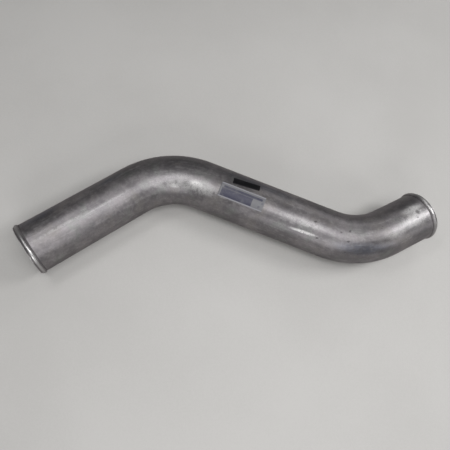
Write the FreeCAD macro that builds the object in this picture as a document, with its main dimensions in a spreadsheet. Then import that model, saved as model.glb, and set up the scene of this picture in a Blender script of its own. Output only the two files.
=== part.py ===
import FreeCAD, Part
import math
import os

import Sketcher
from FreeCAD import Placement, Rotation, Vector

# Turbo outlet pipe: one steel tube, bent twice in one plane, with a hose bead rolled into
# each end and two blank stickers on its middle run. Millimetres and degrees, +Z up.
# The origin is the centre of the inlet mouth, and +X runs into the pipe along its first run.

# Driving dimensions
SIZES = {
    "tube_diameter": 101.6,
    "wall": 1.65,
    "bend_radius": 152.4,
    "first_run": 235.0,
    "first_turn": 56.0,
    "middle_run": 278.0,
    "second_turn": 48.0,
    "last_run": 96.0,
    "lip_length": 1.0,
    "bead_width": 10.0,
    "bead_height": 2.8,
    "bead_foot_radius": 1.5,
    "sticker_thickness": 0.15,
    "glue_clearance": 0.2,
    "trim_margin": 6.0,
    "pale_sticker_length": 94.0,
    "pale_sticker_height": 30.0,
    "pale_sticker_along": 84.0,
    "pale_sticker_turn": 17.0,
    "pale_sticker_slant": 0.0,
    "dark_sticker_length": 56.0,
    "dark_sticker_height": 15.0,
    "dark_sticker_along": 84.0,
    "dark_sticker_turn": -16.5,
    "dark_sticker_slant": 6.0,
}

# Lengths and angles worked out from the sheet
RADIUS = "Sizes.tube_diameter / 2"
SEAT_RADIUS = f"{RADIUS} + Sizes.glue_clearance"
END_LENGTH = "(Sizes.lip_length + Sizes.bead_width)"
CROWN_RADIUS = (
    "(Sizes.bead_height ^ 2 + (Sizes.bead_width / 2) ^ 2) / (2 * Sizes.bead_height)"
    " - Sizes.bead_foot_radius"
)
LAST_HEADING = "(Sizes.second_turn - Sizes.first_turn)"

# Points of the centre line, each as its X and Y: where the first bend starts and ends,
# where the second bend starts and ends, and the outlet mouth
BEND_1_START = ("Sizes.first_run", "0")
BEND_1_END = (
    f"{BEND_1_START[0]} + Sizes.bend_radius * sin(Sizes.first_turn)",
    "Sizes.bend_radius * (cos(Sizes.first_turn) - 1)",
)
BEND_2_START = (
    f"{BEND_1_END[0]} + Sizes.middle_run * cos(Sizes.first_turn)",
    f"{BEND_1_END[1]} - Sizes.middle_run * sin(Sizes.first_turn)",
)
BEND_2_END = (
    f"{BEND_2_START[0]} + Sizes.bend_radius * (sin(Sizes.first_turn) + sin({LAST_HEADING}))",
    f"{BEND_2_START[1]} + Sizes.bend_radius * (cos(Sizes.first_turn) - cos({LAST_HEADING}))",
)
OUTLET = (
    f"{BEND_2_END[0]} + Sizes.last_run * cos({LAST_HEADING})",
    f"{BEND_2_END[1]} + Sizes.last_run * sin({LAST_HEADING})",
)

AXIS_X = Vector(1, 0, 0)
AXIS_Y = Vector(0, 1, 0)
AXIS_Z = Vector(0, 0, 1)
ORIGIN_POINT = (-1, 1)
START, END, CENTRE = 1, 2, 3


def make_sheet(doc):
    """Puts the driving dimensions in a sheet, one named cell each."""
    sheet = doc.addObject("Spreadsheet::Sheet", "Sizes")
    for row, (name, value) in enumerate(SIZES.items(), start=1):
        sheet.set(f"A{row}", name)
        sheet.set(f"B{row}", str(value))
        sheet.setAlias(f"B{row}", name)
    doc.recompute()


def add_body(doc, name):
    """A body whose label names its file."""
    body = doc.addObject("PartDesign::Body", name)
    body.Label = name
    return body


def add_sketch(body, name, plane_role):
    """A sketch on one of the body's own origin planes."""
    sketch = body.newObject("Sketcher::SketchObject", name)
    plane = next(item for item in body.Origin.OriginFeatures if item.Role == plane_role)
    sketch.AttachmentSupport = [(plane, "")]
    sketch.MapMode = "FlatFace"
    return sketch


def shift_sketch(sketch, base, axis, angle):
    """Binds the sketch's offset from its plane: a place and a turn about one axis."""
    sketch.AttachmentOffset = Placement(Vector(), Rotation(axis, 1))
    for letter, expression in zip("xyz", base):
        sketch.setExpression(f"AttachmentOffset.Base.{letter}", expression)
    sketch.setExpression("AttachmentOffset.Rotation.Angle", angle)


def bind(sketch, name, expression, kind, *where_and_value):
    """Adds a named dimension to the sketch and ties it to the sheet."""
    index = sketch.addConstraint(Sketcher.Constraint(kind, *where_and_value))
    sketch.renameConstraint(index, name)
    sketch.setExpression(f"Constraints.{name}", expression)


def tie(sketch, *constraints):
    """Adds constraints without a value."""
    for constraint in constraints:
        sketch.addConstraint(Sketcher.Constraint(*constraint))


def add_rectangle(sketch, length, height, low):
    """Four lines, joined end to end, from the lower left corner on. Gives their numbers."""
    first = sketch.GeometryCount
    corners = [
        Vector(-length / 2, low, 0),
        Vector(length / 2, low, 0),
        Vector(length / 2, low + height, 0),
        Vector(-length / 2, low + height, 0),
    ]
    lines = range(first, first + len(corners))
    for corner, following in zip(corners, corners[1:] + corners[:1]):
        sketch.addGeometry(Part.LineSegment(corner, following))
    for line, following in zip(lines, [*lines[1:], first]):
        tie(sketch, ("Coincident", line, END, following, START))
    return lines


def arc(centre, radius, start_deg, end_deg):
    """A counter-clockwise arc between two angles."""
    circle = Part.Circle(centre, AXIS_Z, radius)
    return Part.ArcOfCircle(circle, math.radians(start_deg), math.radians(end_deg))


def ring_sketch(body, name, point, heading, bend_side=0):
    """The tube's section across the centre line at a point, with a bend's axis beside it.

    bend_side is +1 for a bend to the left, -1 for one to the right and 0 for none.
    """
    outer = SIZES["tube_diameter"] / 2
    offset = bend_side * SIZES["bend_radius"]
    sketch = add_sketch(body, name, "YZ_Plane")
    shift_sketch(sketch, (point[1], "0", point[0]), AXIS_Y, heading)
    sketch.addGeometry(Part.Circle(Vector(), AXIS_Z, outer))
    sketch.addGeometry(Part.Circle(Vector(), AXIS_Z, outer - SIZES["wall"]))
    tie(sketch, ("Coincident", 0, CENTRE, *ORIGIN_POINT), ("Coincident", 1, CENTRE, *ORIGIN_POINT))
    bind(sketch, "outer", RADIUS, "Radius", 0, outer)
    bind(sketch, "inner", f"{RADIUS} - Sizes.wall", "Radius", 1, outer - SIZES["wall"])
    if bend_side:
        foot = Vector(offset, 0, 0)
        sketch.addGeometry(Part.LineSegment(foot, Vector(offset, offset, 0)), True)
        tie(sketch, ("PointOnObject", 2, START, -1), ("Vertical", 2))
        signed_radius = f"{bend_side} * Sizes.bend_radius"
        bind(sketch, "bend_axis", signed_radius, "DistanceX", *ORIGIN_POINT, 2, START, offset)
        bind(sketch, "axis_length", signed_radius, "DistanceY", 2, START, 2, END, offset)
    return sketch


def bead_sketch(body, name, point, turn):
    """The rolled end's wall in section: a short lip, then the bead with its two foot fillets.

    The wall keeps its thickness, so every inner arc shares its centre with an outer one.
    """
    outer = SIZES["tube_diameter"] / 2
    wall = SIZES["wall"]
    lip = SIZES["lip_length"]
    half = SIZES["bead_width"] / 2
    height = SIZES["bead_height"]
    foot = SIZES["bead_foot_radius"]
    crown = (height ** 2 + half ** 2) / (2 * height) - foot
    lean = math.degrees(math.asin(half / (crown + foot)))
    near_foot = Vector(lip, outer + foot, 0)
    far_foot = Vector(lip + 2 * half, outer + foot, 0)
    top = Vector(lip + half, outer + height - crown, 0)

    sketch = add_sketch(body, name, "XY_Plane")
    shift_sketch(sketch, (*point, "0"), AXIS_Z, turn)
    far_x = far_foot.x
    lines_and_arcs = [
        Part.LineSegment(Vector(0, outer, 0), Vector(lip, outer, 0)),
        arc(near_foot, foot, -90, lean - 90),
        arc(top, crown, 90 - lean, 90 + lean),
        arc(far_foot, foot, -90 - lean, -90),
        Part.LineSegment(Vector(far_x, outer, 0), Vector(far_x, outer - wall, 0)),
        arc(far_foot, foot + wall, -90 - lean, -90),
        arc(top, crown - wall, 90 - lean, 90 + lean),
        arc(near_foot, foot + wall, -90, lean - 90),
        Part.LineSegment(Vector(lip, outer - wall, 0), Vector(0, outer - wall, 0)),
        Part.LineSegment(Vector(0, outer - wall, 0), Vector(0, outer, 0)),
    ]
    sketch.addGeometry(lines_and_arcs)
    lip_line, near_arc, crown_arc, far_arc, far_line = range(5)
    inner_far_arc, inner_crown_arc, inner_near_arc, inner_lip_line, mouth_line = range(5, 10)
    tie(
        sketch,
        ("Tangent", lip_line, END, near_arc, START),
        ("Tangent", near_arc, END, crown_arc, END),
        ("Tangent", crown_arc, START, far_arc, START),
        ("Coincident", far_arc, END, far_line, START),
        ("Coincident", far_line, END, inner_far_arc, END),
        ("Tangent", inner_far_arc, START, inner_crown_arc, START),
        ("Tangent", inner_crown_arc, END, inner_near_arc, END),
        ("Tangent", inner_near_arc, START, inner_lip_line, START),
        ("Coincident", inner_lip_line, END, mouth_line, START),
        ("Coincident", mouth_line, END, lip_line, START),
        ("Horizontal", lip_line),
        ("Horizontal", inner_lip_line),
        ("Vertical", mouth_line),
        ("Vertical", far_line),
        ("PointOnObject", lip_line, START, -2),
        ("Coincident", inner_near_arc, CENTRE, near_arc, CENTRE),
        ("Coincident", inner_crown_arc, CENTRE, crown_arc, CENTRE),
        ("Coincident", inner_far_arc, CENTRE, far_arc, CENTRE),
        ("Equal", near_arc, far_arc),
        ("Horizontal", near_arc, CENTRE, far_arc, CENTRE),
        ("Vertical", far_arc, END, far_arc, CENTRE),
    )
    bind(sketch, "outer", RADIUS, "DistanceY", *ORIGIN_POINT, lip_line, START, outer)
    bind(sketch, "wall", "Sizes.wall", "DistanceY", mouth_line, START, mouth_line, END, wall)
    bind(sketch, "lip", "Sizes.lip_length", "DistanceX", lip_line, START, lip_line, END, lip)
    bind(sketch, "foot", "Sizes.bead_foot_radius", "Radius", near_arc, foot)
    bind(sketch, "crown", CROWN_RADIUS, "Radius", crown_arc, crown)
    bind(
        sketch, "half_width", "Sizes.bead_width / 2",
        "DistanceX", lip_line, END, crown_arc, CENTRE, half,
    )
    return sketch


def add_run(body, name, point, heading, length):
    """A straight run of tube from a point of the centre line."""
    pad = body.newObject("PartDesign::Pad", name)
    pad.Profile = ring_sketch(body, f"{name}_section", point, heading)
    pad.setExpression("Length", length)


def add_bend(body, name, point, heading, turn, bend_side):
    """A bend from a point of the centre line, turned about the upright axis beside it."""
    bend = body.newObject("PartDesign::Revolution", name)
    section = ring_sketch(body, f"{name}_section", point, heading, bend_side)
    bend.Profile = section
    bend.ReferenceAxis = (section, ["Axis0"])
    bend.setExpression("Angle", turn)


def add_bead(body, name, point, turn):
    """A rolled end, turned all the way round its run's axis."""
    bead = body.newObject("PartDesign::Revolution", name)
    section = bead_sketch(body, f"{name}_section", point, turn)
    bead.Profile = section
    bead.ReferenceAxis = (section, ["H_Axis"])
    bead.Angle = 360


def make_pipe(doc):
    """The tube: bead, first run, bend to the right, middle run, bend to the left, last run, bead."""
    body = add_body(doc, "pipe")
    heading_middle = "-Sizes.first_turn"
    add_bead(body, "inlet_bead", ("0", "0"), "0")
    add_run(body, "first_run", (END_LENGTH, "0"), "0", f"Sizes.first_run - {END_LENGTH}")
    add_bend(body, "first_bend", BEND_1_START, "0", "Sizes.first_turn", -1)
    add_run(body, "middle_run", BEND_1_END, heading_middle, "Sizes.middle_run")
    add_bend(body, "second_bend", BEND_2_START, heading_middle, "Sizes.second_turn", 1)
    add_run(body, "last_run", BEND_2_END, LAST_HEADING, f"Sizes.last_run - {END_LENGTH}")
    add_bead(body, "outlet_bead", OUTLET, f"180 + {LAST_HEADING}")
    return body


def strip_sketch(body, name, turn):
    """The blank strip's section along the pipe, a glue line off the tube."""
    seat = SIZES["tube_diameter"] / 2 + SIZES["glue_clearance"]
    length = SIZES[f"{name}_length"] + 2 * SIZES["trim_margin"]
    thickness = SIZES["sticker_thickness"]
    sketch = add_sketch(body, f"{name}_section", "XZ_Plane")
    shift_sketch(sketch, ("0", "0", "0"), AXIS_X, turn)
    inner_edge, far_edge, outer_edge, near_edge = add_rectangle(sketch, length, thickness, seat)
    tie(
        sketch,
        ("Horizontal", inner_edge),
        ("Vertical", far_edge),
        ("Vertical", near_edge),
        ("Symmetric", outer_edge, START, outer_edge, END, -2),
    )
    bind(
        sketch, "length", f"Sizes.{name}_length + 2 * Sizes.trim_margin",
        "DistanceX", inner_edge, START, inner_edge, END, length,
    )
    bind(sketch, "seat", SEAT_RADIUS, "DistanceY", *ORIGIN_POINT, inner_edge, START, seat)
    bind(
        sketch, "thickness", "Sizes.sticker_thickness",
        "DistanceY", far_edge, START, far_edge, END, thickness,
    )
    return sketch


def trim_sketch(body, name):
    """A frame round the sticker's slanted outline, square to the radius through its middle.

    The outline's height is the chord of the angle that the sticker takes up on its seat.
    """
    length = SIZES[f"{name}_length"]
    height = SIZES[f"{name}_height"]
    border = 4 * SIZES["trim_margin"]
    chord = f"2 * ({SEAT_RADIUS}) * sin(Sizes.{name}_height / ({RADIUS}) * 90 / pi)"
    sketch = add_sketch(body, f"{name}_outline", "XY_Plane")
    shift_sketch(sketch, ("0", "0", "0"), AXIS_X, f"Sizes.{name}_turn")
    outline = add_rectangle(sketch, length, height, -height / 2)
    frame = add_rectangle(sketch, length + border, height + border, -(height + border) / 2)
    for low, right, high, left in (outline, frame):
        tie(
            sketch,
            ("Perpendicular", low, right),
            ("Perpendicular", right, high),
            ("Perpendicular", high, left),
            ("Symmetric", low, START, high, START, *ORIGIN_POINT),
        )
    tie(sketch, ("Horizontal", frame[0]))
    bind(sketch, "slant", f"Sizes.{name}_slant", "Angle", outline[0], 0)
    bind(sketch, "length", f"Sizes.{name}_length", "Distance", outline[0], length)
    bind(sketch, "height", chord, "Distance", outline[1], height)
    frame_length = f"Sizes.{name}_length + 4 * Sizes.trim_margin"
    frame_height = f"Sizes.{name}_height + 4 * Sizes.trim_margin"
    bind(sketch, "frame_length", frame_length, "Distance", frame[0], length + border)
    bind(sketch, "frame_height", frame_height, "Distance", frame[1], height + border)
    return sketch


def make_sticker(doc, name):
    """A thin sticker bent round the middle run, a glue line away from it all over.

    Its own X runs along the pipe. A strip is turned about that axis, larger than the sticker
    by the trim margin on every side, and the sticker is then cut out of it at its slant.
    """
    span = f"(Sizes.{name}_height + 2 * Sizes.trim_margin) / ({RADIUS}) * 180 / pi"
    along = f"Sizes.{name}_along"
    body = add_body(doc, name)
    section = strip_sketch(body, name, f"Sizes.{name}_turn - {span} / 2")
    strip = body.newObject("PartDesign::Revolution", f"{name}_strip")
    strip.Profile = section
    strip.ReferenceAxis = (section, ["H_Axis"])
    strip.setExpression("Angle", span)
    trim = body.newObject("PartDesign::Pocket", f"{name}_trim")
    trim.Profile = trim_sketch(body, name)
    trim.Type = "ThroughAll"
    trim.Reversed = True
    body.Placement = Placement(Vector(), Rotation(AXIS_Z, 1))
    body.setExpression("Placement.Base.x", f"{BEND_1_END[0]} + {along} * cos(Sizes.first_turn)")
    body.setExpression("Placement.Base.y", f"{BEND_1_END[1]} - {along} * sin(Sizes.first_turn)")
    body.setExpression("Placement.Rotation.Angle", "-Sizes.first_turn")
    return body


def check_and_write(doc, bodies):
    """Stops on any failed object or bad shape, then writes each body to its own file."""
    failed = [item.Label for item in doc.Objects if {"Invalid", "Error"} & set(item.State)]
    failed += [body.Label for body in bodies if body.Shape.isNull() or not body.Shape.isValid()]
    if failed:
        raise RuntimeError(f"failed objects: {failed}")
    os.makedirs("parts", exist_ok=True)
    for body in bodies:
        print(f"{body.Label}: {body.Shape.Volume:.1f} mm3, {len(body.Shape.Solids)} solid")
        body.Shape.exportStep(f"parts/{body.Label}.step")


document = FreeCAD.newDocument("TurboOutletPipe")
make_sheet(document)
made = [
    make_pipe(document),
    make_sticker(document, "pale_sticker"),
    make_sticker(document, "dark_sticker"),
]
document.recompute()
check_and_write(document, made)
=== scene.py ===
"""Turbo outlet pipe: the looks of its aluminised tube and its two blank stickers, in metres."""
import logging
import math
from dataclasses import dataclass
from enum import Enum
from functools import reduce

import bpy
import numpy as np
from mathutils import Matrix, Vector


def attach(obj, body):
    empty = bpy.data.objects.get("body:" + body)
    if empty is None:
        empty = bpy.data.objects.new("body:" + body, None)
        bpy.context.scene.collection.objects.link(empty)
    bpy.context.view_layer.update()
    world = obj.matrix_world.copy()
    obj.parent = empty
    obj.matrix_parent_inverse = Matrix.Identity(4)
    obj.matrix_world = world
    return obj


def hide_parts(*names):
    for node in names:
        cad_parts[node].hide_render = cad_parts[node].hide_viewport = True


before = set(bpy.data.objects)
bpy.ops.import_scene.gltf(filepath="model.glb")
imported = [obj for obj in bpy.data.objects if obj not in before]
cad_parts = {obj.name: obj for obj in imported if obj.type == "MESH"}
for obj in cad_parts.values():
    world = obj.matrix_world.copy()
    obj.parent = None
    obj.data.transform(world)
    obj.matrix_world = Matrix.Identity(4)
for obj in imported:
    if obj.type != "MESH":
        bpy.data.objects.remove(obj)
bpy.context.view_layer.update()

BODY = "root"
TUBE_SPACE = "tube_space"
UNROLLED = "unrolled"
MM = 0.001

Array = np.ndarray
Triple = tuple[float, float, float]
Colour = Triple
Number = float | int

log = logging.getLogger("outlet_pipe")


# The pipe's shape

@dataclass(frozen=True)
class CentreLine:
    """The pipe's centre line in the plane z = 0, from the inlet mouth at the origin along +X.

    Attributes:
        runs: Lengths of the three straight runs.
        turns: The two bends in radians, positive to the left.
        bend_radius: Radius of both bends, measured to the centre line.
    """

    runs: Triple = (0.235, 0.278, 0.096)
    turns: tuple[float, float] = (-math.radians(56), math.radians(48))
    bend_radius: float = 0.1524

    def stretches(self) -> Array:
        """Lists the runs and bends in turn.

        Returns:
            Rows of length and curvature, which is positive to the left.
        """
        rows = [(self.runs[0], 0.0)]
        for turn, run in zip(self.turns, self.runs[1:]):
            rows.append((self.bend_radius * abs(turn), math.copysign(1 / self.bend_radius, turn)))
            rows.append((run, 0.0))
        return np.array(rows)

    def length(self) -> float:
        """Length of the whole line."""
        return float(self.stretches()[:, 0].sum())

    def starts(self) -> Array:
        """Distance of each stretch's start from the inlet."""
        return np.concatenate([[0.0], np.cumsum(self.stretches()[:, 0])[:-1]])

    def at(self, distance: Array) -> tuple[Array, Array]:
        """Finds points of the line.

        The heading is the running sum of curvature times length. In a stretch of curvature k,
        a point d beyond its start lies sin(kd)/k ahead and (1 - cos(kd))/k to the left, which
        sinc(x) = sin(x)/x gives for a straight run as well.

        Args:
            distance: Distances from the inlet, along the line.

        Returns:
            The points as rows of X and Y, and the headings in radians.
        """
        lengths, curvatures = self.stretches().T
        headings = np.concatenate([[0.0], np.cumsum(lengths * curvatures)])
        corners = np.zeros((len(lengths) + 1, 2))
        for index, (length, curvature) in enumerate(zip(lengths, curvatures)):
            corners[index + 1] = corners[index] + self._offset(length, curvature, headings[index])
        found = np.clip(np.searchsorted(self.starts(), distance, side="right") - 1, 0, None)
        beyond = distance - self.starts()[found]
        points = corners[found] + self._offset(beyond, curvatures[found], headings[found])
        return points, headings[found] + curvatures[found] * beyond

    @staticmethod
    def _offset(length: Array, curvature: Array, heading: Array) -> Array:
        """Works out how far a stretch leads, by the formula of at().

        Args:
            length: Length of the stretch.
            curvature: Its curvature, 0 for a straight run.
            heading: Heading at its start, in radians.

        Returns:
            X and Y of its end, from its start.
        """
        half = np.asarray(curvature * length / 2)
        chord = length * np.sinc(half / np.pi)
        return np.stack([chord * np.cos(heading + half), chord * np.sin(heading + half)], axis=-1)


@dataclass(frozen=True)
class RolledEnd:
    """The tube's wall near a mouth: a short lip, then a hose bead between two foot fillets.

    Attributes:
        lip: Length of plain tube before the bead.
        width: Length of the bead along the tube.
        height: How far its crown stands above the tube.
        foot: Outside radius of the foot fillets.
    """

    lip: float = 1.0 * MM
    width: float = 10.0 * MM
    height: float = 2.8 * MM
    foot: float = 1.5 * MM

    def reach(self) -> float:
        """Distance from the mouth to where the plain tube starts."""
        return self.lip + self.width

    def crown_at(self) -> float:
        """Distance from the mouth to the bead's crown."""
        return self.lip + self.width / 2

    def rise(self, from_mouth: Array, depth: float) -> Array:
        """Height of the bead's surface over the plain tube's.

        The crown is an arc of radius c about a centre h - c above the tube, and each foot is an
        arc of radius f about a centre f above it. They touch where their centres line up, and
        a surface at some depth inside the wall has the arcs c - depth and f + depth.

        Args:
            from_mouth: Distances from the mouth.
            depth: 0 on the outside, the wall's thickness on the inside.

        Returns:
            The height at each distance, 0 on plain tube.
        """
        half = self.width / 2
        crown = (self.height**2 + half**2) / (2 * self.height) - self.foot
        lean = half / (crown + self.foot)
        from_crown = np.abs(from_mouth - self.crown_at())
        top = np.sqrt(np.clip((crown - depth) ** 2 - from_crown**2, 0, None))
        to_foot = np.clip(half - from_crown, 0, None)
        low = np.sqrt(np.clip((self.foot + depth) ** 2 - to_foot**2, 0, None))
        on_crown = from_crown <= (crown - depth) * lean
        return np.where(on_crown, self.height - crown + top + depth, self.foot - low + depth)


@dataclass(frozen=True)
class Wave:
    """A shallow wave of the tube's surface, a sine along the tube times a cosine round it.

    Attributes:
        length: Distance in which the sine turns by one radian.
        phase: The sine's angle at the inlet, in radians.
        lobes: How many crests lie round the tube.
        lean: The cosine's angle at the tube's top, in radians.
        twist: Distance in which the cosine turns by one radian along the tube.
    """

    length: float
    phase: float
    lobes: int
    lean: float
    twist: float = math.inf

    def height(self, distance: Array, angle: Array) -> Array:
        """sin(distance / length + phase) times cos(lobes * angle + lean + distance / twist)."""
        around = np.cos(self.lobes * angle + self.lean + distance / self.twist)
        return np.sin(distance / self.length + self.phase) * around


@dataclass(frozen=True)
class TubeWall:
    """The tube's wall round its centre line, with the small unevenness of a bent tube.

    Attributes:
        line: The centre line.
        end: The rolled shape of both ends.
        radius: Outside radius of the plain tube.
        thickness: Thickness of the wall.
        edge_round: Radius of the two deburred edges of each mouth.
        unevenness: Greatest depth of the shallow waves that bending and handling leave.
        waves: Those waves.
        wave_fade: Distance from a rolled end over which they grow to their full depth.
    """

    line: CentreLine = CentreLine()
    end: RolledEnd = RolledEnd()
    radius: float = 50.8 * MM
    thickness: float = 1.65 * MM
    edge_round: float = 0.35 * MM
    unevenness: float = 0.16 * MM
    waves: tuple[Wave, ...] = (
        Wave(21 * MM, 1.3, 2, 0.4),
        Wave(13 * MM, 0.2, 3, 0.0, 90 * MM),
        Wave(34 * MM, 2.1, 1, -0.9),
    )
    wave_fade: float = 30 * MM

    def place(self, distance: Array, angle: Array, radius: Array) -> Array:
        """Turns tube coordinates into points.

        A point is the centre line's, plus radius times (sin angle to the left, cos angle up).

        Args:
            distance: Distance from the inlet along the centre line.
            angle: Angle from the tube's top towards the left of the path, in radians.
            radius: Distance from the centre line.

        Returns:
            Points with X, Y and Z in the last axis.
        """
        centre, heading = self.line.at(distance)
        sideways = radius * np.sin(angle)
        return np.stack(
            [
                centre[..., 0] - sideways * np.sin(heading),
                centre[..., 1] + sideways * np.cos(heading),
                radius * np.cos(angle),
            ],
            axis=-1,
        )

    def from_mouth(self, distance: Array) -> Array:
        """Distance from the nearer mouth."""
        return np.minimum(distance, self.line.length() - distance)

    def dip(self, distance: Array, angle: Array) -> Array:
        """Works out how far the waves sink the surface.

        The waves' heights, each from -1 to 1, are added, brought to 0..1 and faded out towards
        the rolled ends.

        Args:
            distance: Distances from the inlet.
            angle: Angles from the tube's top, in radians.

        Returns:
            The depth at each place.
        """
        total = sum(wave.height(distance, angle) for wave in self.waves)
        clear = np.clip((self.from_mouth(distance) - self.end.reach()) / self.wave_fade, 0, 1)
        return self.unevenness * clear * (total / (2 * len(self.waves)) + 0.5)


def ramp_steps(start: float, stop: float, step: float) -> Array:
    """Even values from start up to stop, about a step apart, without stop itself."""
    return np.linspace(start, stop, max(2, math.ceil(abs(stop - start) / step)), endpoint=False)


def looped_quads(rings: int, around: int) -> Array:
    """Lists the faces of a grid that closes on itself both ways.

    Args:
        rings: Number of rings, which run forwards on the outside.
        around: Points in each ring.

    Returns:
        Four point numbers to each face, ring by ring, facing out.
    """
    ring, column = np.meshgrid(np.arange(rings), np.arange(around), indexing="ij")
    next_ring, next_column = (ring + 1) % rings, (column + 1) % around
    corners = [
        ring * around + column,
        next_ring * around + column,
        next_ring * around + next_column,
        ring * around + next_column,
    ]
    return np.stack(corners, axis=-1).reshape(-1, 4)


def plate_quads(rows: int, columns: int) -> Array:
    """Lists the faces of a closed plate: the upper grid, the lower one turned over and the rim.

    Args:
        rows: Rows of each grid, whose points come row by row, the upper grid's first.
        columns: Points in each row.

    Returns:
        Four point numbers to each face, facing out.
    """
    at = np.arange(rows * columns).reshape(rows, columns)
    upper = np.stack([at[:-1, :-1], at[1:, :-1], at[1:, 1:], at[:-1, 1:]], -1).reshape(-1, 4)
    lower = upper[:, ::-1] + rows * columns
    rim = np.concatenate([at[:-1, 0], at[-1, :-1], at[:0:-1, -1], at[0, :0:-1]])
    beyond = np.roll(rim, -1)
    edge = np.stack([beyond, rim, rim + rows * columns, beyond + rows * columns], -1)
    return np.concatenate([upper, lower, edge])


def make_object(name: str, points: Array, faces: Array) -> bpy.types.Object:
    """Puts points and quads in a smooth mesh whose object sits at the origin.

    Args:
        name: Name of the object and of its mesh.
        points: Points with X, Y and Z in the last axis.
        faces: Four point numbers to each face.

    Returns:
        The object, in the scene.
    """
    mesh = bpy.data.meshes.new(name)
    mesh.from_pydata(points.reshape(-1, 3).tolist(), [], faces.tolist())
    mesh.polygons.foreach_set("use_smooth", np.ones(len(faces), dtype=bool))
    mesh.update()
    made = bpy.data.objects.new(name, mesh)
    bpy.context.scene.collection.objects.link(made)
    return made


def lay_map(target: bpy.types.Object, corners: Array) -> None:
    """Adds the UNROLLED map.

    Args:
        target: The mesh object.
        corners: Each face corner's two coordinates, in the mesh's own corner order.
    """
    layer = target.data.uv_layers.new(name=UNROLLED)
    layer.uv.foreach_set("vector", corners.astype(np.float32).ravel())


# Shader nodes

class Link:
    """A shader socket that Python's operators work on, each adding one Math node."""

    def __init__(self, board: "Board", socket: bpy.types.NodeSocket) -> None:
        """Keeps the socket and the board that its node is on."""
        self.board = board
        self.socket = socket

    def _math(self, operation: str, *values: "Link | Number") -> "Link":
        """Adds a Math node of that operation on the values."""
        inputs = dict(enumerate(values))
        return self.board.add("ShaderNodeMath", {"operation": operation}, inputs)

    def __add__(self, other: "Link | Number") -> "Link":
        """self + other."""
        return self._math("ADD", self, other)

    def __radd__(self, other: Number) -> "Link":
        """other + self."""
        return self._math("ADD", other, self)

    def __sub__(self, other: "Link | Number") -> "Link":
        """self - other."""
        return self._math("SUBTRACT", self, other)

    def __rsub__(self, other: Number) -> "Link":
        """other - self."""
        return self._math("SUBTRACT", other, self)

    def __mul__(self, other: "Link | Number") -> "Link":
        """self * other."""
        return self._math("MULTIPLY", self, other)

    def __rmul__(self, other: Number) -> "Link":
        """other * self."""
        return self._math("MULTIPLY", other, self)

    def __abs__(self) -> "Link":
        """Size of self, without its sign."""
        return self._math("ABSOLUTE", self)

    def lesser(self, other: "Link | Number") -> "Link":
        """The smaller of self and other."""
        return self._math("MINIMUM", self, other)

    def greater(self, other: "Link | Number") -> "Link":
        """The larger of self and other."""
        return self._math("MAXIMUM", self, other)

    def rise(self, low: float, high: float) -> "Link":
        """Brings self to 0..1 by a smooth step.

        Args:
            low: Where the step starts, at 0.
            high: Where it ends, at 1. It may lie below low, and the step then falls.

        Returns:
            The step.
        """
        settings = {"interpolation_type": "SMOOTHSTEP", "clamp": True}
        if low < high:
            inputs = {"Value": self, "From Min": low, "From Max": high}
            return self.board.add("ShaderNodeMapRange", settings, inputs)
        return 1 - self.rise(high, low)


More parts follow.
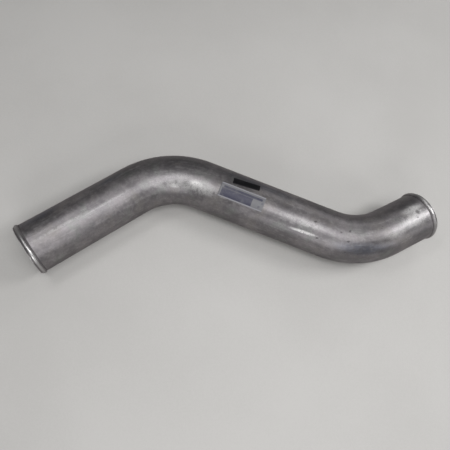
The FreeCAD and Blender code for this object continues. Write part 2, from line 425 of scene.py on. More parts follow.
class Board:
    """The nodes of one material."""

    def __init__(self, name: str) -> None:
        """Makes the material, with no nodes yet."""
        self.material = bpy.data.materials.new(name)
        self.material.use_nodes = True
        self.tree = self.material.node_tree
        self.tree.nodes.clear()

    def add(
        self,
        kind: str,
        settings: dict[str, object] | None = None,
        inputs: dict[str | int, object] | None = None,
        output: str | None = None,
    ) -> Link:
        """Adds any node.

        Args:
            kind: The node's type.
            settings: Its properties, which are set first.
            inputs: Its sockets by place, identifier or name, each a value or a Link.
            output: Name of the wanted output, or the first one in use.

        Returns:
            That output.
        """
        node = self.tree.nodes.new(kind)
        for name, value in (settings or {}).items():
            setattr(node, name, value)
        for key, value in (inputs or {}).items():
            socket = self._socket(node.inputs, key)
            if isinstance(value, Link):
                self.tree.links.new(value.socket, socket)
            else:
                socket.default_value = value
        outputs = [one for one in node.outputs if one.enabled]
        found = self._socket(node.outputs, output) if output else outputs[0] if outputs else None
        return Link(self, found)

    @staticmethod
    def _socket(sockets: bpy.types.bpy_prop_collection, key: str | int) -> bpy.types.NodeSocket:
        """Finds a socket.

        Args:
            sockets: A node's inputs or outputs.
            key: The socket's place, identifier or name, looked for in that order.

        Returns:
            The socket.
        """
        if isinstance(key, int):
            return sockets[key]
        by_identifier = [one for one in sockets if one.identifier == key]
        return by_identifier[0] if by_identifier else sockets[key]

    def axis(self, vector: Link, name: str) -> Link:
        """The vector's "X", "Y" or "Z"."""
        return self.add("ShaderNodeSeparateXYZ", None, {"Vector": vector}, name)

    def vector_math(self, operation: str, output: str = "Vector", **inputs: object) -> Link:
        """A Vector Math node whose inputs are named by their identifiers."""
        return self.add("ShaderNodeVectorMath", {"operation": operation}, inputs, output)

    def cells(self, place: Link, scale: float, output: str) -> Link:
        """Voronoi cells, `scale` to the metre: their "Color" or the "Distance" to their middles."""
        inputs = {"Vector": place, "Scale": scale}
        return self.add("ShaderNodeTexVoronoi", {"feature": "F1"}, inputs, output)

    def layers(self, ground: Colour, over: tuple[tuple[Colour, Link], ...]) -> Link:
        """Lays colours over each other.

        Args:
            ground: The lowest colour.
            over: The colours above it in turn, each with the mask of where it shows.

        Returns:
            What is seen.
        """
        seen: Link | Colour = ground
        for colour, mask in over:
            seen = self.mix(mask, seen, colour)
        return seen

    def mix(self, factor: Link, first: Link | Colour, second: Link | Colour) -> Link:
        """Blends two colours.

        Args:
            factor: How much of the second one shows, from 0 to 1.
            first: The first colour.
            second: The second colour.

        Returns:
            The blend.
        """
        settings = {"data_type": "RGBA", "clamp_factor": True}
        inputs = {
            "Factor_Float": factor,
            "A_Color": first if isinstance(first, Link) else (*first, 1.0),
            "B_Color": second if isinstance(second, Link) else (*second, 1.0),
        }
        return self.add("ShaderNodeMix", settings, inputs, "Result_Color")

    def finish(
        self, shader: dict[str, object], relief: Link, relief_height: float
    ) -> bpy.types.Material:
        """Closes the tree with a Principled shader.

        Args:
            shader: The shader's sockets and their values or links.
            relief: The fine relief, as a height.
            relief_height: What a height of 1 is, in metres.

        Returns:
            The finished material.
        """
        bump = self.add("ShaderNodeBump", None, {"Height": relief, "Distance": relief_height})
        surface = self.add("ShaderNodeBsdfPrincipled", None, {**shader, "Normal": bump})
        self.add("ShaderNodeOutputMaterial", None, {"Surface": surface})
        return self.material


@dataclass(frozen=True)
class Pattern:
    """Fractal noise on a surface, from 0 to 1 and 0.5 on average.

    Attributes:
        scale: Lumps to the metre.
        detail: How many times finer lumps are added.
        wobble: How far the lumps are pulled out of shape.
        stretch: Factor on each axis, below 1 where the lumps are drawn out along it.
        shift: Where in the noise the surface's origin lies.
    """

    scale: float
    detail: float = 3.0
    wobble: float = 0.0
    stretch: Triple = (1.0, 1.0, 1.0)
    shift: Triple = (0.0, 0.0, 0.0)

    def on(self, place: Link, output: str = "Fac") -> Link:
        """Lays the pattern.

        Args:
            place: Coordinates on the surface, in metres.
            output: "Fac" for one value, or "Color" for three that differ.

        Returns:
            Its value, or its values.
        """
        inputs = {"Vector": place, "Scale": self.stretch, "Location": self.shift}
        moved = place.board.add("ShaderNodeMapping", None, inputs)
        inputs = {"Vector": moved, "Scale": self.scale, "Detail": self.detail, "Distortion": self.wobble}
        return place.board.add("ShaderNodeTexNoise", None, inputs, output)


@dataclass(frozen=True)
class Level:
    """The part of a pattern or of a distance that shows, and how strongly.

    Attributes:
        start: The value at which it starts to show.
        full: The value at which it shows fully, below start where low values show.
        strength: How strongly it shows there, from 0 to 1.
    """

    start: float
    full: float
    strength: float = 1.0

    def of(self, value: Link) -> Link:
        """Its mask, from 0 to strength."""
        return value.rise(self.start, self.full) * self.strength


# Finishes

class MarkKind(Enum):
    """What a local mark on the metal does to it."""

    # RUB marks are rubbed metal painted brighter, partly as a painted highlight; POLISH marks are
    # painted highlights on polished spots and on the beads' crowns.
    RUB = "rubbed bright"
    POLISH = "polished"
    BLOOM = "dulled blue-grey"
    SPECK = "dark dirt or pit"


RUB, POLISH, BLOOM, SPECK = MarkKind
MARK_FADE = Level(1.15, 0.35)


@dataclass(frozen=True)
class Mark:
    """A local mark on the tube's outside.

    Attributes:
        kind: What it is.
        along: Distance of its middle from the inlet.
        angle: Angle of its middle from the tube's top, in degrees, positive to the left.
        length: Its length along the tube.
        width: Its width round the tube.
        strength: How strong it is, from 0 to 1.
        slant: Turn of its length away from the tube's, in degrees.
    """

    kind: MarkKind
    along: float
    angle: float
    length: float
    width: float
    strength: float = 1.0
    slant: float = 0.0

    def mask(self, place: Link, radius: float) -> Link:
        """Lays the mark, which fades with the distance from its middle in its own half sizes.

        Args:
            place: Distance along the tube and round it.
            radius: The tube's radius, which turns its angle into a distance.

        Returns:
            The mask, from 0 to the mark's strength.
        """
        inputs = {
            "Vector": place,
            "Location": (self.along, radius * math.radians(self.angle), 0.0),
            "Rotation": (0.0, 0.0, math.radians(self.slant)),
            "Scale": (self.length / 2, self.width / 2, 1.0),
        }
        own = place.board.add("ShaderNodeMapping", {"vector_type": "TEXTURE"}, inputs)
        apart = place.board.vector_math("LENGTH", "Value", Vector=own)
        return self.strength * MARK_FADE.of(apart)


class MetalMasks:
    """Where each pattern and mark of the metal lies, from 0 to 1.

    Attributes:
        clouds, mottle, grain: Lumps of 60, 10 and 2 mm.
        lines, broad_lines: Fine and broad draw lines along the tube.
        crystals, speckle: The coating's crystals and its small spots.
        film: Patches of faint film.
        rub, polish, bloom, speck: The marks, with stray pits among the specks; the rubs are partly
            rubbed metal and partly painted highlights, the polished spots painted highlights.
        crown, foot: The top of each bead and the corner behind it.
        rim: The edges of the mouths.
        soiled: The specks of dirt and the corners behind the beads, together.
        fray: How far noise moves the marks' edges.
        foot_lag: How far beyond a bead the painted shade behind it is darkest.
    """

    fray: float = 5.0 * MM
    foot_lag: float = 0.4 * MM

    def __init__(self, board: Board, wall: TubeWall, marks: tuple[Mark, ...]) -> None:
        """Lays them all.

        Args:
            board: The material's board.
            wall: The tube, for its lengths.
            marks: The local marks.
        """
        tube = board.add("ShaderNodeAttribute", {"attribute_name": TUBE_SPACE}, None, "Vector")
        flat = board.add("ShaderNodeUVMap", {"uv_map": UNROLLED})
        self.clouds = Pattern(17.0, 3.0, 0.4).on(tube)
        self.mottle = Pattern(95.0, 4.0, 0.3).on(tube)
        self.grain = Pattern(620.0).on(tube)
        self.lines = Pattern(900.0, 4.0, stretch=(0.035, 1.0, 1.0)).on(tube)
        self.broad_lines = Pattern(190.0, 3.0, 0.15, stretch=(0.06, 1.0, 1.0)).on(tube)
        self.speckle = Pattern(330.0, 3.0, 0.2).on(tube)
        self.film = Pattern(26.0, 3.0, 0.6, shift=(3.1, 1.7, 0.4)).on(tube)
        tints = board.cells(tube, 290.0, "Color")
        self.crystals = board.add("ShaderNodeSeparateColor", None, {"Color": tints}, "Red")

        noise = Pattern(260.0, 4.0).on(tube, "Color")
        centred = board.vector_math("SUBTRACT", Vector=noise, Vector_001=(0.5, 0.5, 0.5))
        moved = board.vector_math("SCALE", Vector=centred, Scale=self.fray)
        place = board.vector_math("ADD", Vector=flat, Vector_001=moved)
        laid = [(mark.kind, mark.mask(place, wall.radius)) for mark in marks]
        self.rub, self.polish, self.bloom, specks = (
            reduce(Link.greater, [mask for kind, mask in laid if kind is wanted])
            for wanted in (RUB, POLISH, BLOOM, SPECK)
        )
        pits = Level(0.10, 0.03, 0.80).of(board.cells(tube, 75.0, "Distance"))
        self.speck = specks.greater(pits * Level(0.47, 0.62).of(self.film))

        along = board.axis(flat, "X")
        from_mouth = along.lesser(wall.line.length() - along)
        from_foot = abs(from_mouth - (wall.end.reach() + self.foot_lag))
        self.crown = Level(3.6 * MM, 1.0 * MM).of(abs(from_mouth - wall.end.crown_at()))
        # The foot mask places painted shade in the corner behind each bead.
        self.foot = Level(1.8 * MM, 0.3 * MM).of(from_foot)
        self.rim = Level(0.9 * MM, 0.2 * MM).of(from_mouth)
        self.soiled = self.speck.greater(self.foot)

    def total(self, **shares: float) -> Link:
        """Adds up the masks that are named, each times its share."""
        return reduce(Link.__add__, [share * getattr(self, name) for name, share in shares.items()])


@dataclass(frozen=True)
class AluminisedSteel:
    """Mill-finished aluminised steel: satin, mottled, with draw lines, rubs, stains and specks, and with
    painted highlights and painted shade.

    Attributes:
        metal, dull: Colours of the clean coating and of its oxide clouds.
        warm, cool: Colours of faint brownish and greenish film.
        bloom: Colour of blue-grey heat and handling bloom.
        bright_and_highlight, polished: Colours of the bright lines, grains and rubs and of painted
            highlights, and of the brightest painted highlights, on polished spots.
        dirt_and_shade: Colour of dirt in pits, and of the painted shade along the beads' feet.
        grazing: How much of each colour it reflects at a grazing angle.
        roughness: Its roughness at the low of every pattern.
        bore_rougher: What the bore adds to that.
        crown_highlight_and_edge_wear: How strongly each bead's crown is painted with a highlight and the
            mouths' edges are worn bright, and what the fine lines add to it.
        speck_dirt, foot_shade: Strength of the dirt in specks, and of the painted shade behind a bead.
        bore_dirt: The bore's least dirt, what the film adds to it, and its most.
        crust: How much a speck hides the metal's shine.
        foot_shade_dullness: Share of that which the painted shade behind a bead hides.
        relief_height: What a height of 1 is in the fine relief.
        marks: The local marks, by kind and from the inlet on.
    """

    metal: Colour = (0.266, 0.249, 0.256)
    dull: Colour = (0.166, 0.157, 0.164)
    warm: Colour = (0.198, 0.185, 0.173)
    cool: Colour = (0.208, 0.220, 0.206)
    bloom: Colour = (0.142, 0.147, 0.175)
    bright_and_highlight: Colour = (0.480, 0.473, 0.470)
    polished: Colour = (0.68, 0.67, 0.665)
    dirt_and_shade: Colour = (0.035, 0.032, 0.033)
    grazing: Colour = (0.62, 0.60, 0.61)
    roughness: float = 0.105
    bore_rougher: float = 0.12
    crown_highlight_and_edge_wear: tuple[float, float] = (0.55, 0.35)
    speck_dirt: float = 0.90
    foot_shade: float = 0.75
    bore_dirt: Triple = (0.15, 0.50, 0.60)
    crust: float = 0.75
    foot_shade_dullness: float = 0.80
    relief_height: float = 0.10 * MM
    marks: tuple[Mark, ...] = (
        # The rubs are partly rubbed metal and partly painted highlights; the polished spots below are
        # painted highlights, the first and the last on the beads' crowns.
        Mark(RUB, 0.070, -13.0, 0.150, 0.0070, 0.45),
        Mark(RUB, 0.165, -17.0, 0.130, 0.0055, 0.35),
        Mark(RUB, 0.300, -31.0, 0.120, 0.016, 0.45),
        Mark(RUB, 0.330, -18.0, 0.080, 0.022, 0.35),
        Mark(RUB, 0.340, -34.0, 0.074, 0.024, 0.65),
        Mark(RUB, 0.384, -32.0, 0.080, 0.032, 0.90),
        Mark(RUB, 0.600, -20.0, 0.120, 0.018, 0.40, 4.0),
        Mark(RUB, 0.786, -20.0, 0.056, 0.026, 0.50),
        Mark(RUB, 0.838, -10.0, 0.090, 0.048, 0.60),
        Mark(RUB, 0.842, 14.0, 0.060, 0.022, 0.75),
        Mark(POLISH, 0.0060, -38.0, 0.010, 0.040, 0.8),
        Mark(POLISH, 0.320, -38.0, 0.026, 0.011, 0.45),
        Mark(POLISH, 0.374, -30.0, 0.050, 0.019, 0.75),
        Mark(POLISH, 0.606, -41.0, 0.064, 0.0072, 0.80, 3.0),
        Mark(POLISH, 0.846, 9.0, 0.050, 0.024, 0.65),
        Mark(POLISH, 0.8796, 8.0, 0.009, 0.050, 0.9),
        Mark(BLOOM, 0.052, 40.0, 0.090, 0.030, 0.8),
        Mark(BLOOM, 0.200, 32.0, 0.060, 0.018, 0.7),
        Mark(BLOOM, 0.500, 30.0, 0.190, 0.026, 0.6),
        Mark(BLOOM, 0.720, -42.0, 0.110, 0.034, 0.9),
        Mark(SPECK, 0.4330, 36.0, 0.0080, 0.0040, 0.6),
        Mark(SPECK, 0.6220, -9.0, 0.0080, 0.0048, 0.75, 20.0),
        Mark(SPECK, 0.6365, -43.0, 0.0075, 0.0045, 0.75),
        Mark(SPECK, 0.6760, -12.0, 0.0045, 0.0035, 0.6),
        Mark(SPECK, 0.6920, -4.0, 0.0070, 0.0050, 0.75),
        Mark(SPECK, 0.6920, -28.0, 0.0065, 0.0045, 0.7, 30.0),
        Mark(SPECK, 0.6920, -55.0, 0.0055, 0.0040, 0.6),
        Mark(SPECK, 0.7350, -38.0, 0.0070, 0.0045, 0.5),
        Mark(SPECK, 0.8440, -9.0, 0.0040, 0.0040, 0.6),
        Mark(SPECK, 0.8500, 2.0, 0.0100, 0.0120, 0.75, 35.0),
    )

    def colour(self, board: Board, at: MetalMasks) -> Link:
        """Lays the colours over each other, in the order of the list.

        Args:
            board: The material's board.
            at: The patterns and marks.

        Returns:
            The outside's colour.
        """
        broken = at.grain + at.mottle
        least_wear, line_wear = self.crown_highlight_and_edge_wear
        # Painted highlight along each bead's crown, and wear on the mouths' edges.
        worn = at.crown.greater(at.rim) * (least_wear + line_wear * at.lines)
        bright_broad = Level(0.53, 0.70, 0.24).of(at.broad_lines)
        dull_broad = Level(0.47, 0.30, 0.45).of(at.broad_lines)
        layers = (
            (self.metal, Level(0.75, 1.35).of(1.3 * at.clouds + 0.7 * at.mottle)),
            (self.warm, Level(0.50, 0.72, 0.55).of(at.film)),
            (self.cool, Level(0.48, 0.30, 0.50).of(at.film)),
            (self.bloom, Level(0.15, 0.60).of(at.mottle) * at.bloom),
            # Painted highlights: the rubs brighten partly as painted light, the polished spots wholly.
            (self.bright_and_highlight, Level(0.611, 1.167).of(broken) * at.rub),
            (self.polished, Level(0.45, 1.05).of(broken) * at.polish),
            (self.bright_and_highlight, Level(0.58, 0.78, 0.18).of(at.lines)),
            (self.dull, Level(0.42, 0.25, 0.22).of(at.lines)),
            (self.bright_and_highlight, bright_broad * Level(0.35, 0.60).of(at.mottle)),
            (self.dull, dull_broad * Level(0.65, 0.40).of(at.mottle)),
            (self.bright_and_highlight, Level(0.55, 1.0, 0.10).of(at.crystals)),
            (self.dull, Level(0.45, 0.0, 0.22).of(at.crystals)),
            (self.dull, Level(0.43, 0.28, 0.65).of(at.speckle)),
            (self.bright_and_highlight, Level(0.60, 0.72, 0.22).of(at.grain)),
            (self.dull, Level(0.40, 0.28, 0.30).of(at.grain)),
            (self.bright_and_highlight, worn),
            # Painted shade in the corner behind each bead.
            (self.dirt_and_shade, self.foot_shade * at.foot),
            (self.dirt_and_shade, self.speck_dirt * at.speck),
        )
        return board.layers(self.dull, layers)

    def material(self, wall: TubeWall, inside: bool) -> bpy.types.Material:
        """Builds the metal's material.

        Args:
            wall: The tube, for its lengths.
            inside: True for the bore's duller side.

        Returns:
            The material.
        """
        board = Board("bore_metal" if inside else "tube_metal")
        at = MetalMasks(board, wall, self.marks)
        colour = self.colour(board, at)
        rough = self.roughness + at.total(
            clouds=0.16, mottle=0.14, broad_lines=0.16, grain=0.12, crystals=0.07,
            rub=0.06, polish=-0.05, bloom=-0.06, crown=-0.05, soiled=0.25,
        )
        if inside:
            least, from_film, most = self.bore_dirt
            colour = board.mix((least + from_film * at.film).lesser(most), colour, self.dirt_and_shade)
            rough = rough + self.bore_rougher
        # Specks of dirt dull the metal, and so does the painted shade behind each bead.
        crust_and_foot_shade = self.crust * at.speck.greater(self.foot_shade_dullness * at.foot)
        sockets = {
            "Base Color": colour,
            "Metallic": 1 - crust_and_foot_shade - Level(0.50, 0.75, 0.25).of(at.film),
            "Roughness": rough,
            "Specular Tint": (*self.grazing, 1.0),
        }
        relief = at.total(mottle=0.45, lines=0.30, grain=0.25, speck=-0.80)
        return board.finish(sockets, relief, self.relief_height)


@dataclass(frozen=True)
class PrintBox:
    """A plain printed rectangle on a sticker, measured from the sticker's middle.

    Attributes:
        low: Its lower left corner, along and up the sticker.
        high: Its upper right corner.
        strength: How much of the print's colour covers the film, from 0 to 1.
        soft: Half the width of its soft edge.
    """

    low: tuple[float, float]
    high: tuple[float, float]
    strength: float = 1.0
    soft: float = 0.12 * MM

    def mask(self, across: Link, up: Link) -> Link:
        """Lays the rectangle.

        Args:
            across: Distance along the sticker from its middle.
            up: Distance up the sticker from its middle.

        Returns:
            Its strength inside and 0 outside.
        """
        sideways = (across - self.low[0]).lesser(self.high[0] - across)
        upwards = (up - self.low[1]).lesser(self.high[1] - up)
        return self.strength * sideways.lesser(upwards).rise(-self.soft, self.soft)


@dataclass(frozen=True)
class PrintedFilm:
    """A sticker film with plain print of one colour, dusty and a little worn at its edges.

    Attributes:
        film, ink: Colours of the bare film and of its print.
        dust: Colour of dust and of worn film.
        border: Colour of the unprinted border along its two long edges.
        border_width: Width of that border.
        roughness: Roughness of clean film at the low of its patterns.
        gloss: Strength of its mirror reflection, 0.5 for a plain lacquer.
        prints: Its printed rectangles.
        wear: How strongly wear and fraying show in its colour.
        print_wear: Share of the print that wear takes off.
        fray_drift, border_drift: How far the clouds move the frayed edge and the border's.
        border_soft: Half the width of the border's soft edge.
        cloud_rough, grain_rough, fray_rough: What those add to the roughness.
        crease_relief, fine_relief: Heights of the creases, and of the grain and the print.
        relief_height: What a height of 1 is.
    """

    film: Colour
    ink: Colour
    dust: Colour
    border: Colour
    border_width: float
    roughness: float
    gloss: float
    prints: tuple[PrintBox, ...]
    wear: float = 0.30
    print_wear: float = 0.35
    fray_drift: float = 3.0 * MM
    border_drift: float = 1.2 * MM
    border_soft: float = 0.4 * MM
    cloud_rough: float = 0.22
    grain_rough: float = 0.14
    fray_rough: float = 0.15
    crease_relief: float = 0.70
    fine_relief: float = 0.15
    relief_height: float = 0.12 * MM

    def material(self, name: str, length: float, height: float) -> bpy.types.Material:
        """Builds the film's material.

        Args:
            name: Name of the material.
            length: The sticker's length.
            height: The sticker's height.

        Returns:
            The material.
        """
        board = Board(name)
        flat = board.add("ShaderNodeUVMap", {"uv_map": UNROLLED})
        across, up = board.axis(flat, "X"), board.axis(flat, "Y")
        clouds = Pattern(60.0, 4.0, 0.5).on(flat)
        grain = Pattern(900.0).on(flat)
        scratches = Pattern(1300.0, stretch=(0.08, 1.0, 1.0)).on(flat)
        creases = Pattern(130.0, 2.0, 1.5, stretch=(0.6, 1.0, 1.0)).on(flat)

        printed = reduce(Link.greater, [box.mask(across, up) for box in self.prints])
        drift = clouds - 0.5
        to_end, to_long_edge = length / 2 - abs(across), height / 2 - abs(up)
        to_edge = to_end.lesser(to_long_edge) + self.fray_drift * drift
        frayed = Level(1.8 * MM, 0.1 * MM).of(to_edge)
        inner, outer = self.border_width + self.border_soft, self.border_width - self.border_soft
        border = Level(inner, outer).of(to_long_edge + self.border_drift * drift)
        worn = Level(0.62, 0.74, 0.80).of(scratches).greater(Level(0.66, 0.76, 0.70).of(grain))

        layers = (
            (self.border, border),
            (self.ink, printed * (1 - self.print_wear * worn)),
            (self.dust, Level(0.45, 0.75, 0.30).of(clouds)),
            (self.dust, self.wear * frayed),
            (self.dust, self.wear * worn),
        )
        colour = board.layers(self.film, layers)
        rough = self.roughness + self.cloud_rough * clouds + self.grain_rough * grain
        rough = rough + self.fray_rough * frayed
        relief = self.crease_relief * creases + self.fine_relief * (grain + printed)
        sockets = {"Base Color": colour, "Roughness": rough, "Specular IOR Level": self.gloss}
        return board.finish(sockets, relief, self.relief_height)


# Pieces

@dataclass(frozen=True)
class Pipe:
    """The tube, as one closed surface: outside, outlet rim, bore and inlet rim.

    Attributes:
        wall: Its shape.
        finish: Its metal.
        around: Points round the tube.
        outer_step: Distance between rings on the outside.
        bore_step: Distance between rings in the bore.
        bead_step: Distance between rings over a bead.
        past_bead: How far beyond a bead the rings stay that close.
        edge_steps: Rings in each rounded edge of a rim.
    """

    wall: TubeWall = TubeWall()
    finish: AluminisedSteel = AluminisedSteel()
    around: int = 160
    outer_step: float = 3.2 * MM
    bore_step: float = 7.0 * MM
    bead_step: float = 0.4 * MM
    past_bead: float = 1.0 * MM
    edge_steps: int = 4

    def rings(self, depth: float, step: float) -> tuple[Array, Array]:
        """Rings of one side of the wall from inlet to outlet, between the rims' rounds.

        Args:
            depth: 0 for the outside, the wall's thickness for the bore.
            step: Distance between rings on the plain tube.

        Returns:
            Each ring's distance from the inlet and its radius.
        """
        length = self.wall.line.length()
        reach = self.wall.end.reach() + self.past_bead
        near = ramp_steps(self.wall.edge_round, reach, self.bead_step)
        middle = ramp_steps(reach, length - reach, step)
        far = length - np.concatenate([[reach], near[::-1]])
        distance = np.concatenate([near, middle, far])
        radius = self.wall.radius - depth + self.wall.end.rise(self.wall.from_mouth(distance), depth)
        return distance, radius

    def rim(self) -> tuple[Array, Array]:
        """Rings of the outlet rim, from the outside to the bore.

        Two quarter circles of the edges' radius round the cut face's corners off.

        Returns:
            Each ring's distance from the inlet and its radius.
        """
        length, radius = self.wall.line.length(), self.wall.radius
        bite = self.wall.edge_round
        turn = np.linspace(0, np.pi / 2, self.edge_steps + 1)[1:]
        outer_at = length - bite + bite * np.sin(turn)
        outer_radius = radius - bite + bite * np.cos(turn)
        inner_at = outer_at[::-1]
        inner_radius = 2 * radius - self.wall.thickness - outer_radius[::-1]
        return np.concatenate([outer_at, inner_at]), np.concatenate([outer_radius, inner_radius])

    def lay_coordinates(self, pipe: bpy.types.Object, at: Array, angle: Array, faces: Array) -> None:
        """Gives the mesh the coordinates that its patterns and marks follow.

        TUBE_SPACE is the tube as if it were straight: distance along it, and two distances
        across it. UNROLLED is its surface laid flat: distance along it and round it, where the
        last face of each ring ends at a full turn, not back at the start.

        Args:
            pipe: The mesh object.
            at: Each point's distance from the inlet.
            angle: Each point's angle from the tube's top.
            faces: The faces' point numbers.
        """
        radius = self.wall.radius
        space = np.stack([at, radius * np.sin(angle), radius * np.cos(angle)], axis=-1)
        attribute = pipe.data.attributes.new(TUBE_SPACE, "FLOAT_VECTOR", "POINT")
        attribute.data.foreach_set("vector", space.astype(np.float32).ravel())
        arc = radius * angle.ravel()[faces]
        arc[arc[:, 3] < arc[:, 0], 2:] += radius * 2 * np.pi
        lay_map(pipe, np.stack([at.ravel()[faces], arc], axis=-1))

    def build(self) -> bpy.types.Object:
        """Makes the pipe.

        Each ring is a circle round the centre line, of its own radius less the waves' dip.

        Returns:
            The piece.
        """
        outer_at, outer_radius = self.rings(0.0, self.outer_step)
        bore_at, bore_radius = self.rings(self.wall.thickness, self.bore_step)
        rim_at, rim_radius = self.rim()
        length = self.wall.line.length()
        at = np.concatenate([outer_at, rim_at, bore_at[::-1], length - rim_at[::-1]])
        radius = np.concatenate([outer_radius, rim_radius, bore_radius[::-1], rim_radius[::-1]])
        angle = np.linspace(-np.pi, np.pi, self.around, endpoint=False)
        at_grid, angle_grid = np.meshgrid(at, angle, indexing="ij")
        radius_grid = radius[:, None] - self.wall.dip(at_grid, angle_grid)
        faces = looped_quads(len(at), self.around)
        pipe = make_object("outlet_tube", self.wall.place(at_grid, angle_grid, radius_grid), faces)
        self.lay_coordinates(pipe, at_grid, angle_grid, faces)

        pipe.data.materials.append(self.finish.material(self.wall, inside=False))
        pipe.data.materials.append(self.finish.material(self.wall, inside=True))
        ring = np.repeat(np.arange(len(at)), self.around)
        bore_start = len(outer_at) + len(rim_at)
        in_bore = (ring >= bore_start) & (ring < bore_start + len(bore_at) - 1)
        pipe.data.polygons.foreach_set("material_index", in_bore.astype(np.int32))
        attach(pipe, BODY)
        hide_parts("pipe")
        return pipe


@dataclass(frozen=True)
class Sticker:
    """A thin sticker bent round the tube.

    Attributes:
        name: The piece's name.
        node: The solid that it stands for.
        slot: That solid's material slot; not used.
        finish: Its film.
        along: Distance of its middle from the inlet.
        angle: Angle of its middle from the tube's top, in degrees, positive to the left.
        length: Its length.
        height: Its height, measured round the tube.
        slant: Its turn on the tube, in degrees.
        corner: Radius of its corners.
        seat: Gap under it, which its glue fills.
        top: Height of its face over the tube.
        rows: Points up its face.
        columns: Points along it.
    """

    name: str
    node: str
    slot: str
    finish: PrintedFilm
    along: float
    angle: float
    length: float
    height: float
    slant: float = 0.0
    corner: float = 1.5 * MM
    seat: float = 0.02 * MM
    top: float = 0.35 * MM
    rows: int = 25
    columns: int = 61

    def outline(self) -> tuple[Array, Array]:
        """The flat sticker as a grid.

        Rows run from its lower edge to its upper one. A row's ends draw in near the corners by
        r - sqrt(r^2 - t^2), with r the corner's radius and t how far the row is into it.

        Returns:
            Each point's place along and up the sticker, from its middle.
        """
        spread = np.sin(np.linspace(-np.pi / 2, np.pi / 2, self.rows))
        up = self.height / 2 * spread
        into = np.clip(np.abs(up) - (self.height / 2 - self.corner), 0, self.corner)
        half = self.length / 2 - (self.corner - np.sqrt(self.corner**2 - into**2))
        across = np.linspace(-1, 1, self.columns)[None, :] * half[:, None]
        return across, np.repeat(up[:, None], self.columns, axis=1)

    def build(self, wall: TubeWall) -> bpy.types.Object:
        """Makes the sticker.

        Its flat outline is turned by its slant, laid on the unrolled tube and wrapped round it,
        once at the height of its face and once at that of its seat.

        Args:
            wall: The tube's wall.

        Returns:
            The piece.
        """
        across, up = self.outline()
        slant = math.radians(self.slant)
        middle = wall.radius * math.radians(self.angle)
        at = self.along + across * math.cos(slant) - up * math.sin(slant)
        arc = middle + across * math.sin(slant) + up * math.cos(slant)
        angle = arc / wall.radius
        base = wall.radius - wall.dip(at, angle)
        upper = wall.place(at, angle, base + self.top)
        lower = wall.place(at, angle, base + self.seat)
        faces = plate_quads(self.rows, self.columns)
        sticker = make_object(self.name, np.stack([upper, lower]), faces)
        flat = np.stack([across, up], axis=-1).reshape(-1, 2)
        lay_map(sticker, np.concatenate([flat, flat])[faces])
        film = self.finish.material(self.name + "_film", self.length, self.height)
        sticker.data.materials.append(film)
        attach(sticker, BODY)
        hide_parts(self.node)
        return sticker


# Studio

@dataclass(frozen=True)
class Lamp:
    """A rectangular soft lamp.

    Attributes:
        name: Its name.
        place: Where it hangs.
        aim: The point that it faces.
        size: Its two sides, the first one level.
        power: Its power in watts.
    """

    name: str
    place: Triple
    aim: Triple
    size: tuple[float, float]
    power: float

    def hang(self) -> None:
        """Adds the lamp."""
        data = bpy.data.lights.new(self.name, "AREA")
        data.shape = "RECTANGLE"
        data.size, data.size_y = self.size
        data.energy = self.power
        lamp = bpy.data.objects.new(self.name, data)
        lamp.location = self.place
        facing = Vector(self.aim) - Vector(self.place)
        lamp.rotation_euler = facing.to_track_quat("-Z", "Y").to_euler()
        bpy.context.scene.collection.objects.link(lamp)


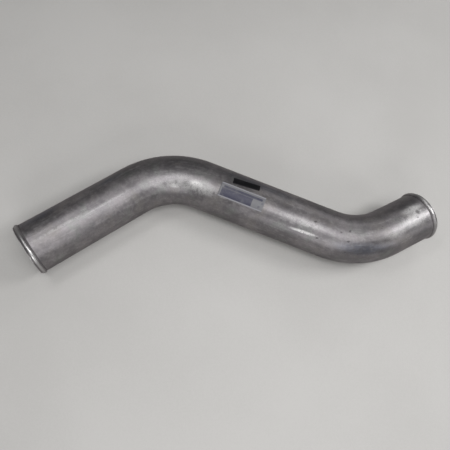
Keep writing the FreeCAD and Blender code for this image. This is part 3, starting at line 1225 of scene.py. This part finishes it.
@dataclass(frozen=True)
class Studio:
    """A plain pale floor, soft lamps and the camera at the photograph's angle.

    Attributes:
        floor_colour: Colour of the floor.
        floor_tone: A slightly darker tone that drifts over it.
        floor_side: Side of the square floor.
        floor_roughness: Its roughness.
        tooth_height: Height of its paper's tooth.
        world_level: Level of the even light from all round.
        lamps: The lamps.
        eye: Where the camera stands.
        right, up: Directions of the picture's right and of its top.
        lens, sensor: Focal length and width of the sensor, both in millimetres.
        sight: The nearest and the farthest distance that it sees.
    """

    floor_colour: Colour = (0.56, 0.55, 0.535)
    floor_tone: Colour = (0.52, 0.51, 0.495)
    floor_side: float = 8.0
    floor_roughness: float = 0.85
    tooth_height: float = 0.1 * MM
    world_level: float = 0.20
    lamps: tuple[Lamp, ...] = (
        Lamp("front_strip", (0.36, -0.78, 1.58), (0.36, -0.19, 0.0), (0.75, 0.72), 6.6),
        Lamp("overhead_strip", (0.0, -0.30, 1.70), (0.10, -0.05, 0.0), (0.75, 0.36), 4.75),
        Lamp("back_strip", (-0.10, 0.45, 1.60), (0.10, -0.05, 0.0), (0.75, 0.36), 4.2),
        Lamp("left_low_strip", (-0.39, -1.548, 1.023), (-0.39, -0.19, 0.0), (0.75, 0.36), 5.1),
        Lamp("left_front_strip", (-0.90, -1.60, 0.60), (0.10, -0.05, 0.0), (0.75, 0.36), 3.75),
        Lamp("right_strip", (1.86, -0.962, 1.515), (1.11, -0.19, 0.0), (0.75, 0.36), 15.6),
        Lamp("right_low_strip", (1.11, -1.787, 0.581), (1.11, -0.19, 0.0), (0.75, 0.36), 2.7),
        Lamp("right_panel", (1.95, 0.35, 1.2), (0.66, -0.37, 0.0), (0.6, 0.6), 2.15),
    )
    eye: Triple = (0.081671, -0.374144, 0.856105)
    right: Triple = (0.80951, -0.57671, 0.11002)
    up: Triple = (0.51107, 0.78441, 0.35143)
    lens: float = 36.0
    sensor: float = 36.0
    sight: tuple[float, float] = (0.01, 50.0)

    def lay_floor(self, height: float) -> bpy.types.Object:
        """Lays the floor.

        Args:
            height: Its height.

        Returns:
            The floor.
        """
        square = np.array([(-1, -1), (1, -1), (1, 1), (-1, 1)]) * self.floor_side / 2
        corners = np.column_stack([square, np.full(len(square), height)])
        floor = make_object("floor", corners, np.array([[0, 1, 2, 3]]))
        board = Board("floor_paper")
        place = board.add("ShaderNodeTexCoord", None, None, "Object")
        drift, tooth = Pattern(3.0, 4.0).on(place), Pattern(420.0, 2.0).on(place)
        darker = Level(0.35, 0.65).of(0.7 * drift + 0.3 * tooth)
        colour = board.mix(darker, self.floor_colour, self.floor_tone)
        sockets = {"Base Color": colour, "Roughness": self.floor_roughness}
        floor.data.materials.append(board.finish(sockets, tooth, self.tooth_height))
        return floor

    def light(self) -> None:
        """Sets the even light and hangs the lamps."""
        world = bpy.data.worlds.new("even_light")
        world.use_nodes = True
        background = world.node_tree.nodes["Background"]
        background.inputs["Color"].default_value = (1.0, 1.0, 1.0, 1.0)
        background.inputs["Strength"].default_value = self.world_level
        bpy.context.scene.world = world
        for lamp in self.lamps:
            lamp.hang()

    def set_camera(self) -> bpy.types.Object:
        """Stands the camera where the photograph was taken from."""
        data = bpy.data.cameras.new("photo_camera")
        data.lens = self.lens
        data.sensor_width = self.sensor
        data.clip_start, data.clip_end = self.sight
        camera = bpy.data.objects.new("photo_camera", data)
        right, up = Vector(self.right).normalized(), Vector(self.up).normalized()
        turn = Matrix((right, up, right.cross(up))).transposed()
        camera.matrix_world = Matrix.Translation(Vector(self.eye)) @ turn.to_4x4()
        bpy.context.scene.collection.objects.link(camera)
        bpy.context.scene.camera = camera
        return camera


def stickers(line: CentreLine) -> list[Sticker]:
    """Describes the two stickers of the middle run.

    Args:
        line: The pipe's centre line.

    Returns:
        The pale one and the dark one, whose middles lie side by side.
    """
    into_middle_run = 84 * MM
    middle = float(line.starts()[2]) + into_middle_run
    pale = PrintedFilm(
        film=(0.152, 0.152, 0.165),
        ink=(0.030, 0.030, 0.060),
        dust=(0.20, 0.195, 0.20),
        border=(0.275, 0.272, 0.298),
        border_width=2.2 * MM,
        roughness=0.26,
        gloss=0.5,
        prints=(
            PrintBox((-43.0 * MM, -12.3 * MM), (22.5 * MM, 3.4 * MM)),
            PrintBox((-40.0 * MM, 4.8 * MM), (41.5 * MM, 9.4 * MM), 0.85),
            PrintBox((-43.0 * MM, 3.0 * MM), (22.5 * MM, 5.0 * MM), 0.5),
            PrintBox((36.0 * MM, -10.0 * MM), (40.5 * MM, -5.5 * MM), 0.4),
            PrintBox((41.0 * MM, -1.5 * MM), (45.5 * MM, 2.5 * MM), 0.35),
        ),
    )
    dark = PrintedFilm(
        film=(0.005, 0.0045, 0.006),
        ink=(0.003, 0.003, 0.004),
        dust=(0.018, 0.016, 0.017),
        border=(0.040, 0.036, 0.042),
        border_width=0.9 * MM,
        roughness=0.29,
        gloss=0.12,
        prints=(PrintBox((-25.5 * MM, -5.5 * MM), (25.5 * MM, 5.5 * MM)),),
    )
    return [
        Sticker("pale_label", "pale_sticker", "pale_film", pale, middle, -17.0, 94 * MM, 30 * MM),
        Sticker("dark_label", "dark_sticker", "dark_film", dark, middle, 16.5, 56 * MM, 15 * MM, 6.0),
    ]


def main() -> None:
    """Builds the pipe, its stickers and the studio, in that order, and reports each piece."""
    logging.basicConfig(level=logging.INFO, format="%(message)s")
    bpy.context.scene.view_settings.view_transform = "Standard"
    pipe = Pipe()
    pieces = [pipe.build()]
    pieces += [sticker.build(pipe.wall) for sticker in stickers(pipe.wall.line)]
    for piece in pieces:
        log.info("%s: %d faces", piece.name, len(piece.data.polygons))
    studio = Studio()
    studio.lay_floor(-pipe.wall.radius - pipe.wall.end.height)
    studio.light()
    studio.set_camera()


if __name__ == "__main__":
    main()
